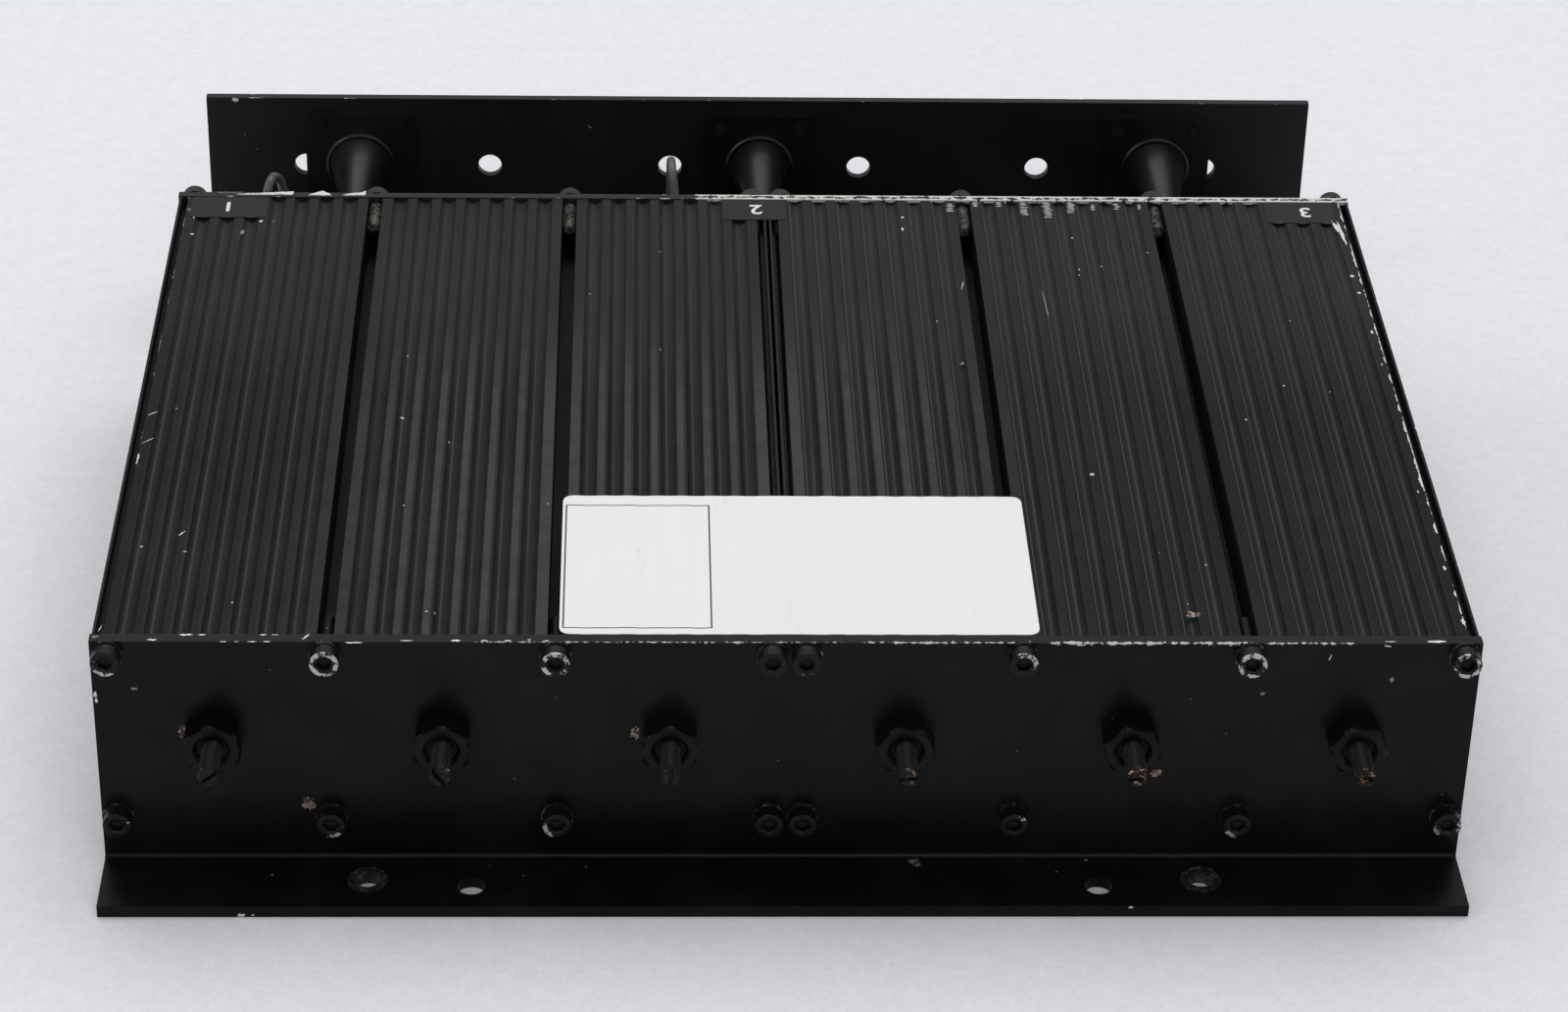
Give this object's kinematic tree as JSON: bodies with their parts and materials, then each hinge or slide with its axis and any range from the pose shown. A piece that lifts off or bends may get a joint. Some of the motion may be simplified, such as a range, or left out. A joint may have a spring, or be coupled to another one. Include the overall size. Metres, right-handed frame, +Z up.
{
  "type": "cavity duplexer",
  "caption": "Flat black cavity duplexer: ribbed extruded blocks between folded end plates, slotted tuning screws with lock nuts in front, a wiring bay and coaxial panel connectors behind.",
  "frame": {"origin": "middle of the footprint, on the bench", "axes": "+X to the right seen from the tuning side, +Y back from the tuning screws to the connectors, +Z up"},
  "size_m": [0.26, 0.2678, 0.0522],
  "materials": {
    "black_sheet": "black satin paint, chipped to bare metal on its edges",
    "black_extrusion": "black anodised",
    "black_nut": "black paint",
    "black_brass": "black paint worn to the metal at the tip",
    "bright_brass": "turned",
    "zinc_steel": "zinc plated",
    "silvered_wire": "drawn",
    "bare_insert": "paint worn off",
    "worn_cap_screw": "black paint worn off the rims",
    "dark_washer": "dark, dull",
    "plated_connector": "nickel plated",
    "black_hood": "black paint",
    "white_insulator": "turned",
    "gold_contact": "gold plated",
    "grey_lead": "smooth sheath",
    "white_paper": "printed paper",
    "black_tape": "embossed tape"
  },
  "bodies": {
    "root": {"front_plate": "black_sheet", "rear_tray": "black_sheet", "left_block": "black_extrusion", "right_block": "black_extrusion", "resonator_1": "bright_brass", "resonator_2": "bright_brass", "resonator_3": "bright_brass", "resonator_4": "bright_brass", "resonator_5": "bright_brass", "resonator_6": "bright_brass", "tuning_bush_1": "black_brass", "tuning_bush_2": "black_brass", "tuning_bush_3": "black_brass", "tuning_bush_4": "black_brass", "tuning_bush_5": "black_brass", "tuning_bush_6": "black_brass", "coupling_port_1": "bright_brass", "coupling_port_2": "bright_brass", "coupling_port_3": "bright_brass", "coupling_port_4": "bright_brass", "coupling_port_5": "bright_brass", "coupling_port_6": "bright_brass", "connector_1": "plated_connector", "connector_2": "plated_connector", "connector_3": "plated_connector", "connector_hood_1": "black_hood", "connector_hood_2": "black_hood", "connector_hood_3": "black_hood", "lock_nuts": "black_nut", "resonator_screws": "zinc_steel", "coupling_loops": "silvered_wire", "flange_inserts": "bare_insert", "front_cap_screws": "worn_cap_screw", "front_washers": "dark_washer", "rear_cap_screws": "worn_cap_screw", "rear_washers": "dark_washer", "connector_insulators": "white_insulator", "connector_contacts": "gold_contact", "connector_screws": "zinc_steel", "left_harness": "grey_lead", "right_harness": "grey_lead", "paper_label": "white_paper", "tape_labels": "black_tape"},
    "probe_1": {"tuning_probe_1": "bright_brass"},
    "screw_1": {"tuning_screw_1": "black_brass"},
    "probe_2": {"tuning_probe_2": "bright_brass"},
    "screw_2": {"tuning_screw_2": "black_brass"},
    "probe_3": {"tuning_probe_3": "bright_brass"},
    "screw_3": {"tuning_screw_3": "black_brass"},
    "probe_4": {"tuning_probe_4": "bright_brass"},
    "screw_4": {"tuning_screw_4": "black_brass"},
    "probe_5": {"tuning_probe_5": "bright_brass"},
    "screw_5": {"tuning_screw_5": "black_brass"},
    "probe_6": {"tuning_probe_6": "bright_brass"},
    "screw_6": {"tuning_screw_6": "black_brass"}
  },
  "joints": [
    {"name": "tuner_1_slide", "type": "slide", "parent": "root", "child": "probe_1", "axis": [0, 1, 0], "range_m": [-0.0035, 0.0035]},
    {"name": "tuner_1_turn", "type": "hinge", "parent": "probe_1", "child": "screw_1", "pos_m": [-0.10787, -0.1181, 0.0306], "axis": [0, 1, 0], "range_deg": [-1800, 1800]},
    {"name": "tuner_2_slide", "type": "slide", "parent": "root", "child": "probe_2", "axis": [0, 1, 0], "range_m": [-0.0035, 0.0035]},
    {"name": "tuner_2_turn", "type": "hinge", "parent": "probe_2", "child": "screw_2", "pos_m": [-0.06502, -0.1181, 0.0306], "axis": [0, 1, 0], "range_deg": [-1800, 1800]},
    {"name": "tuner_3_slide", "type": "slide", "parent": "root", "child": "probe_3", "axis": [0, 1, 0], "range_m": [-0.0035, 0.0035]},
    {"name": "tuner_3_turn", "type": "hinge", "parent": "probe_3", "child": "screw_3", "pos_m": [-0.02218, -0.1181, 0.0306], "axis": [0, 1, 0], "range_deg": [-1800, 1800]},
    {"name": "tuner_4_slide", "type": "slide", "parent": "root", "child": "probe_4", "axis": [0, 1, 0], "range_m": [-0.0035, 0.0035]},
    {"name": "tuner_4_turn", "type": "hinge", "parent": "probe_4", "child": "screw_4", "pos_m": [0.02218, -0.1181, 0.0306], "axis": [0, 1, 0], "range_deg": [-1800, 1800]},
    {"name": "tuner_5_slide", "type": "slide", "parent": "root", "child": "probe_5", "axis": [0, 1, 0], "range_m": [-0.0035, 0.0035]},
    {"name": "tuner_5_turn", "type": "hinge", "parent": "probe_5", "child": "screw_5", "pos_m": [0.06502, -0.1181, 0.0306], "axis": [0, 1, 0], "range_deg": [-1800, 1800]},
    {"name": "tuner_6_slide", "type": "slide", "parent": "root", "child": "probe_6", "axis": [0, 1, 0], "range_m": [-0.0035, 0.0035]},
    {"name": "tuner_6_turn", "type": "hinge", "parent": "probe_6", "child": "screw_6", "pos_m": [0.10787, -0.1181, 0.0306], "axis": [0, 1, 0], "range_deg": [-1800, 1800]}
  ],
  "couplings": [
    {"joint": "tuner_1_turn", "follows": "tuner_1_slide", "rad_per_m": 8975.9},
    {"joint": "tuner_2_turn", "follows": "tuner_2_slide", "rad_per_m": 8975.9},
    {"joint": "tuner_3_turn", "follows": "tuner_3_slide", "rad_per_m": 8975.9},
    {"joint": "tuner_4_turn", "follows": "tuner_4_slide", "rad_per_m": 8975.9},
    {"joint": "tuner_5_turn", "follows": "tuner_5_slide", "rad_per_m": 8975.9},
    {"joint": "tuner_6_turn", "follows": "tuner_6_slide", "rad_per_m": 8975.9}
  ]
}
